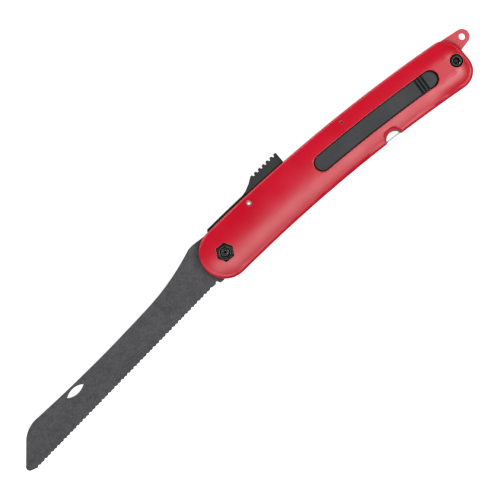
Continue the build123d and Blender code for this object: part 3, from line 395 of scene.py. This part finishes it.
# %% Handling group
def build_handling():
    """Patches where hands have polished or dulled a finish, and a few fine scuffs."""
    group, source, result = new_group(
        "handling",
        [("Patch Scale", FLOAT, 60.0), ("Scuff Scale", FLOAT, 260.0)],
        [("Patch", FLOAT), ("Scuff", FLOAT)],
    )
    place = node(group, "ShaderNodeTexCoord").outputs["Object"]
    patch = remap(group, noise(group, place, source.outputs["Patch Scale"], 4.0, 0.55), 0.35, 0.65)
    group.links.new(patch, result.inputs["Patch"])
    scuffs = node(
        group,
        "ShaderNodeTexVoronoi",
        {"feature": "DISTANCE_TO_EDGE"},
        Vector=node(
            group,
            "ShaderNodeVectorMath",
            {"operation": "MULTIPLY"},
            i0=place,
            i1=(0.25, 1.0, 1.0),
        ).outputs[0],
        Scale=source.outputs["Scuff Scale"],
    ).outputs["Distance"]
    thin = remap(group, scuffs, 0.012, 0.0)
    rare = remap(group, noise(group, place, 140.0, 2.0, 0.5), 0.60, 0.70)
    group.links.new(maths(group, "MULTIPLY", thin, rare), result.inputs["Scuff"])
    return group


HANDLING = build_handling()
print("groups:", [g.name for g in bpy.data.node_groups])

# %% [markdown]
# ## Finishes
#
# Each finish is one material. A function makes the shader, places the groups it needs with its own
# values, and links them to colour, roughness and normal. Constants such as coat or specular level
# sit on the shader's own sockets.


# %% A material to start from
def new_material(name, color, roughness, metallic=0.0, specular=0.5):
    """A Principled material and its tree."""
    material = bpy.data.materials.new(name)
    material.use_nodes = True
    tree = material.node_tree
    shader = tree.nodes["Principled BSDF"]
    shader.inputs["Base Color"].default_value = (*color, 1)
    shader.inputs["Roughness"].default_value = roughness
    shader.inputs["Metallic"].default_value = metallic
    shader.inputs["Specular IOR Level"].default_value = specular
    return material, tree, shader


def place_group(tree, group, **sockets):
    """Place a node group in a material with its own values."""
    made = tree.nodes.new("ShaderNodeGroup")
    made.node_tree = group
    for key, value in sockets.items():
        made.inputs[key.replace("_", " ")].default_value = value
    return made


def blend_color(tree, factor, first, second):
    """Mix two colours by a mask; a colour may be a tuple or an output."""
    made = tree.nodes.new("ShaderNodeMix")
    made.data_type = "RGBA"
    for index, value in ((0, factor), (6, first), (7, second)):
        if isinstance(value, bpy.types.NodeSocket):
            tree.links.new(value, made.inputs[index])
        elif index == 0:
            made.inputs[0].default_value = value
        else:
            made.inputs[index].default_value = (*value, 1)
    return made.outputs[2]


def bump(tree, height, distance, strength, normal=None):
    """A Bump node's normal."""
    made = node(tree, "ShaderNodeBump", None, Height=height, Distance=distance, Strength=strength)
    if normal is not None:
        tree.links.new(normal, made.inputs["Normal"])
    return made.outputs["Normal"]


# %% Coated finishes: paint, powder coat and oxide
PAINTED_SHADE_COVER = 0.95  # how far painted shade darkens the coat in a gap
PAINTED_SHADE_TONE = 0.08  # its tone, as a share of the coat's
RECESS_ROUGHNESS = 0.45
SCUFF_ROUGHNESS = 0.15


def coated(
    name, tones, edge, roughness, grain, edge_radius, edge_share=0.6, mottle=0.0, metallic=0.0,
    gap=(0.88, 0.40), specular=0.5,
):
    """A coat over metal: pebble grain, slow tone, polished patches, pale edges, painted shade in
    recesses.

    tones are the coat's two colours, edge is the colour laid on edges (coat rubbed thin, and on the
    red paint and the oxide a painted highlight), roughness is its lowest and highest value, grain is
    the pebble's scale and depth, and mottle is how much of the tone follows the pebble. gap says how
    shut in a place must be to start the painted shade, and to be fully dark. The shaded gaps are made
    matt as well as dark.
    """
    material, tree, shader = new_material(name, tones[0], roughness[0], metallic, specular)
    pebble = place_group(tree, COATING_GRAIN, Scale=grain[0])
    wear_and_glint = place_group(tree, EDGE_WEAR_AND_GLINT, Radius=edge_radius)
    hands = place_group(tree, HANDLING)
    recess_shade = place_group(tree, RECESS_SHADE, Start=gap[0], Full=gap[1])
    slow = maths(tree, "MULTIPLY", pebble.outputs["Tone"], 1.0 - mottle)
    tone = maths(tree, "ADD", slow, maths(tree, "MULTIPLY", pebble.outputs["Height"], mottle))
    color = blend_color(tree, remap(tree, tone, 0.35, 0.65), *tones)
    # Pale edges: rubbed coat, and on the red paint and the oxide a painted highlight.
    edge_wear_and_highlight = maths(tree, "MULTIPLY", wear_and_glint.outputs["Mask"], edge_share)
    color = blend_color(tree, edge_wear_and_highlight, color, edge)
    # Painted shade: the colour in gaps and sockets is darkened towards black.
    shade = maths(tree, "MULTIPLY", recess_shade.outputs["Mask"], PAINTED_SHADE_COVER)
    color = blend_color(tree, shade, color, tuple(PAINTED_SHADE_TONE * value for value in tones[0]))
    tree.links.new(color, shader.inputs["Base Color"])
    rough = remap(tree, hands.outputs["Patch"], 0.0, 1.0, roughness[0], roughness[1])
    scuffed = maths(tree, "MULTIPLY", hands.outputs["Scuff"], SCUFF_ROUGHNESS)
    recess_matt = maths(tree, "MULTIPLY", recess_shade.outputs["Mask"], RECESS_ROUGHNESS)
    rough = maths(tree, "ADD", maths(tree, "ADD", rough, scuffed), recess_matt, clamp=True)
    tree.links.new(rough, shader.inputs["Roughness"])
    normal = bump(tree, pebble.outputs["Height"], grain[1], 0.5, wear_and_glint.outputs["Normal"])
    tree.links.new(normal, shader.inputs["Normal"])
    return material


# %% Bare steel finishes
# Painted shade in the gaps of bare metal: how dark, and its tone.
STEEL_PAINTED_SHADE_COVER = 0.9
STEEL_PAINTED_SHADE_TONE = 0.06


def bare_steel(name, dark, light, roughness, stretch, turn=0.0, depth=0.00001):
    """Rolled, drawn or ground metal with long fine lines, and painted shade in the gaps.

    dark and light are the lines' two tones, and depth is how deep they are cut.
    """
    material, tree, shader = new_material(name, light, roughness[0], metallic=1.0)
    lines = place_group(tree, DRAWN_LINES, Stretch=stretch, Turn=turn)
    hands = place_group(tree, HANDLING, Patch_Scale=120.0)
    wear_and_glint = place_group(tree, EDGE_WEAR_AND_GLINT, Radius=0.0002)
    color = blend_color(tree, lines.outputs["Shade"], dark, light)
    recess_shade = place_group(tree, RECESS_SHADE, Start=0.90, Full=0.50)
    # Painted shade: the colour in gaps is darkened towards black.
    steel_painted_shade = maths(tree, "MULTIPLY", recess_shade.outputs["Mask"], STEEL_PAINTED_SHADE_COVER)
    color = blend_color(tree, steel_painted_shade, color, tuple(STEEL_PAINTED_SHADE_TONE * value for value in dark))
    tree.links.new(color, shader.inputs["Base Color"])
    rough = remap(tree, hands.outputs["Patch"], 0.0, 1.0, roughness[0], roughness[1])
    tree.links.new(rough, shader.inputs["Roughness"])
    normal = bump(tree, lines.outputs["Height"], depth, 0.4, wear_and_glint.outputs["Normal"])
    tree.links.new(normal, shader.inputs["Normal"])
    return material


# %% Make the finishes
ALONG_X = (60.0, 4000.0, 4000.0)  # lines that run the length of a rolled strip
ALL_ROUND = (1500.0, 1500.0, 60.0)  # lines that run up the sides of a turned pin
FINISHES = {
    "red_paint": coated(
        "red_paint",
        tones=((0.56, 0.002, 0.018), (0.62, 0.004, 0.025)),
        # Pale pink rims: a painted highlight laid on the edge mask.
        edge=(0.95, 0.34, 0.38),
        roughness=(0.29, 0.36),
        grain=(1500.0, 0.00007),
        edge_radius=0.0005,
        edge_share=0.8,
        mottle=0.3,
    ),
    "blade_coating": coated(
        "blade_coating",
        tones=((0.030, 0.029, 0.033), (0.076, 0.074, 0.083)),
        edge=(0.12, 0.12, 0.125),
        roughness=(0.48, 0.60),
        grain=(1000.0, 0.00014),
        edge_radius=0.00015,
        edge_share=0.3,
        mottle=0.9,
    ),
    "clip_black": coated(
        "clip_black",
        tones=((0.018, 0.020, 0.023), (0.031, 0.034, 0.037)),
        edge=(0.12, 0.125, 0.13),
        roughness=(0.50, 0.60),
        grain=(1300.0, 0.00008),
        edge_radius=0.0003,
        mottle=0.7,
        # Painted shade round the clip's gap starts early, so the gap reads dark.
        gap=(0.98, 0.72),
        specular=0.4,
    ),
    "black_lever": coated(
        "black_lever",
        tones=((0.007, 0.009, 0.010), (0.014, 0.017, 0.018)),
        edge=(0.14, 0.14, 0.145),
        roughness=(0.40, 0.50),
        grain=(1300.0, 0.00008),
        edge_radius=0.0003,
        mottle=0.6,
        specular=0.4,
    ),
    "black_oxide": coated(
        "black_oxide",
        tones=((0.018, 0.021, 0.017), (0.034, 0.037, 0.032)),
        # Near-white rims: rubbed-through oxide, made near white as a painted highlight on the head's
        # ring.
        edge=(0.95, 0.95, 0.92),
        roughness=(0.24, 0.34),
        grain=(2200.0, 0.00002),
        edge_radius=0.00045,
        edge_share=1.0,
        mottle=0.1,
        metallic=0.7,
        # Painted shade in the screw socket and round the nut.
        gap=(0.90, 0.55),
        specular=0.15,
    ),
    "liner_steel": bare_steel(
        "liner_steel",
        dark=(0.32, 0.32, 0.33),
        light=(0.46, 0.46, 0.47),
        roughness=(0.32, 0.42),
        stretch=ALONG_X,
    ),
    "bright_steel": bare_steel(
        "bright_steel",
        dark=(0.34, 0.34, 0.34),
        light=(0.50, 0.49, 0.48),
        roughness=(0.26, 0.36),
        stretch=ALL_ROUND,
    ),
    "spring_steel": bare_steel(
        "spring_steel",
        dark=(0.16, 0.17, 0.20),
        light=(0.30, 0.31, 0.34),
        roughness=(0.28, 0.36),
        stretch=ALONG_X,
    ),
    "bronze": bare_steel(
        "bronze",
        dark=(0.40, 0.25, 0.11),
        light=(0.55, 0.37, 0.18),
        roughness=(0.34, 0.46),
        stretch=ALL_ROUND,
    ),
}
print("finishes:", sorted(FINISHES))

# %% [markdown]
# ## Dressing the CAD nodes
#
# The record says which finish each part has. Reading it there, part by part, is surer than naming
# each node here, and a part that is added later is dressed as well.

# %% Give every carried CAD node its finish
for entry in frame["record"]["subparts"]:
    carried = frame["nodes"][entry["node"]]
    carried.data.materials.clear()
    carried.data.materials.append(FINISHES[entry["material_slot"]])

# %% [markdown]
# ## Blade with set and ground teeth
#
# A jab saw cuts in both directions because its teeth lean left and right in turn, and each is ground
# to a slope on its inner side. The CAD blade is cut from flat plate, which is right for its size but
# leaves every tooth square. Modelling each tooth by hand would repeat the outline that the plate
# already has, so the plate's own mesh is copied, split along the gullets, and only the tooth tips are
# moved: out to one side for the set, and back from the edge for the grind.

# %% Make the blade
TOOTH_ZONE_START = -18.9 * MM  # along the blade, from the pivot
TOOTH_ZONE_END = BLADE_LOW.x + 12 * MM
TOOTH_DEPTH = 0.75 * MM
TOOTH_SET = 0.20 * MM
GRIND = 0.35 * MM
TIP_BAND = 0.05 * MM  # a point this near the tooth line is a tooth's tip
WELD = 0.002 * MM
ALONG = Vector((math.cos(BLADE_TILT), math.sin(BLADE_TILT), 0))
UP = Vector((-math.sin(BLADE_TILT), math.cos(BLADE_TILT), 0))


def plain_copy(node_name, name):
    """A welded copy of a CAD node's mesh as an open bmesh, and an empty mesh to write it to."""
    work = bmesh.new()
    work.from_mesh(frame["nodes"][node_name].data)
    bmesh.ops.remove_doubles(work, verts=work.verts, dist=WELD)
    mesh = bpy.data.meshes.new(name)
    return work, mesh


def close_mesh(work, mesh, name, crease=30):
    """Write the bmesh, shade it smooth below the crease angle, and link its object."""
    work.to_mesh(mesh)
    work.free()
    if "custom_normal" in mesh.attributes:
        mesh.attributes.remove(mesh.attributes["custom_normal"])
    mesh.shade_smooth()
    mesh.set_sharp_from_angle(angle=math.radians(crease))
    piece = bpy.data.objects.new(name, mesh)
    bpy.context.scene.collection.objects.link(piece)
    return piece


def set_and_grind(work):
    """Lean the tooth tips out in turn and draw the inner corner of each back from the edge."""
    zone = [v for v in work.verts if TOOTH_ZONE_END < v.co.dot(ALONG) < TOOTH_ZONE_START]
    tooth_line = min(v.co.dot(UP) for v in zone)
    split = UP * (tooth_line + TOOTH_DEPTH)
    everything = work.verts[:] + work.edges[:] + work.faces[:]
    bmesh.ops.bisect_plane(work, geom=everything, dist=WELD / 2, plane_co=split, plane_no=UP)
    tips = [v for v in zone if v.is_valid and v.co.dot(UP) < tooth_line + TIP_BAND]
    stations = sorted({round(v.co.dot(ALONG) / MM, 1) for v in tips})
    for tip in tips:
        side = 1 if stations.index(round(tip.co.dot(ALONG) / MM, 1)) % 2 else -1
        inner = (tip.co.z - MID_HEIGHT) * side < 0
        tip.co.z += side * TOOTH_SET
        if inner:
            tip.co += UP * GRIND
    return len(stations)


blade_work, blade_mesh = plain_copy("blade", "saw_blade")
print("teeth set:", set_and_grind(blade_work))
saw_blade = close_mesh(blade_work, blade_mesh, "saw_blade")
blade_mesh.materials.append(FINISHES["blade_coating"])
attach(saw_blade, "blade")
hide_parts("blade")

# %% [markdown]
# ## Scales with a full crown
#
# The real scales are crowned right across, so the light slides over them without a break. The CAD
# scale has a flat land down its middle, which is what it rests on and is clamped by, and which shows
# as a dull strip. The shape could be sculpted, but a formula is surer: the land's mesh is cut into a
# fine grid, and each point of the outer face drops to a parabola of its depth in from the edge. The
# two profiles meet at the rounded rim, so the edge, the holes and the pockets keep their places.

# %% Depth in from the edge, and the two profiles
HALF = -HANDLE_LOW.x  # half the handle's width, as its nose is a half circle about the pivot
SPAN = (TAIL - PIVOT).x
RISE = HANDLE_HIGH.y - HALF
BOW_RADIUS = ((SPAN / 2) ** 2 + RISE**2) / (2 * RISE)  # the handle's centreline is an arc
BOW = Vector((SPAN / 2, RISE - BOW_RADIUS))
CROWN_REACH = 10.5 * MM
CROWN_DROP = 1.9 * MM
EDGE_ROUNDING = 1.8 * MM
CROWN_RUN = CROWN_REACH - EDGE_ROUNDING
CROWN_RADIUS = (CROWN_RUN**2 + CROWN_DROP**2) / (2 * CROWN_DROP)
FULL_DROP = CROWN_DROP / (1 - EDGE_ROUNDING / HALF) ** 2
FADE_START = TAIL.x - 24 * MM
FADE_LENGTH = 12 * MM
ROWS_ACROSS = range(-14, 20)  # in mm, finer across than along, because the crown bends across
ROWS_ALONG = range(-14, 162, 4)
OUTER_FACING = 0.88  # least upward part of an outer face's normal
FACE_TOLERANCE = 0.06 * MM
RIM_TOLERANCE = 0.02 * MM
CAD_TOP = HANDLE_HIGH.z
CAD_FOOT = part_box("rear_scale")[0].z


def depth_in(x, y):
    """Distance in from the handle's edge: round the nose before the pivot, beside the bow after."""
    from_bow = Vector((x, y)) - BOW
    ahead = -BOW.normalized()
    if Vector((x, y)).dot(Vector((ahead.y, -ahead.x))) < 0:
        return HALF - math.hypot(x, y)
    return HALF - abs(from_bow.length - BOW_RADIUS)


def flat_drop(depth):
    """How far the CAD face lies below its own flat land at this depth."""
    if depth >= CROWN_REACH:
        return 0.0
    return CROWN_RADIUS - math.sqrt(CROWN_RADIUS**2 - (CROWN_REACH - depth) ** 2)


def full_drop(x, depth):
    """The same for the full crown, which fades back to the CAD face before the tail."""
    crowned = FULL_DROP * (1 - depth / HALF) ** 2
    share = min(1.0, max(0.0, (x - FADE_START) / FADE_LENGTH))
    share = share * share * (3 - 2 * share)
    return crowned * (1 - share) + flat_drop(depth) * share


print(f"bow radius {BOW_RADIUS / MM:.0f} mm, crown {FULL_DROP / MM:.2f} mm over the full width")


# %% Crown both scales
def crowned_scale(node_name, name, side):
    """A copy of one scale whose outer face is crowned all the way across."""
    land = CAD_TOP if side > 0 else CAD_FOOT
    work, mesh = plain_copy(node_name, name)

    def on_face(vert):
        depth = depth_in(vert.co.x, vert.co.y)
        if depth < EDGE_ROUNDING - RIM_TOLERANCE:
            return False
        return abs((land - vert.co.z) * side - flat_drop(depth)) < FACE_TOLERANCE

    def outer_geometry():
        faces = [f for f in work.faces if f.normal.z * side > OUTER_FACING]
        faces = [f for f in faces if all(on_face(v) for v in f.verts)]
        edges = {e for f in faces for e in f.edges}
        verts = {v for f in faces for v in f.verts}
        return faces + list(edges) + list(verts)

    cuts = [(Vector((0, y * MM, 0)), Vector((0, 1, 0))) for y in ROWS_ACROSS]
    cuts += [(Vector((x * MM, 0, 0)), Vector((1, 0, 0))) for x in ROWS_ALONG]
    for point, normal in cuts:
        outer = outer_geometry()
        bmesh.ops.bisect_plane(work, geom=outer, dist=WELD, plane_co=point, plane_no=normal)
    moved = 0
    for vert in work.verts:
        if vert.co.x < FADE_START + FADE_LENGTH and on_face(vert):
            drop = full_drop(vert.co.x, depth_in(vert.co.x, vert.co.y))
            vert.co.z = land - side * drop
            moved += 1
    print(name, "points crowned:", moved, "faces:", len(work.faces))
    return close_mesh(work, mesh, name)


for scale_node, scale_name, scale_side in (
    ("front_scale", "front_scale_crowned", 1),
    ("rear_scale", "rear_scale_crowned", -1),
):
    scale = crowned_scale(scale_node, scale_name, scale_side)
    scale.data.materials.append(FINISHES["red_paint"])
    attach(scale, "handle")
    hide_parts(scale_node)
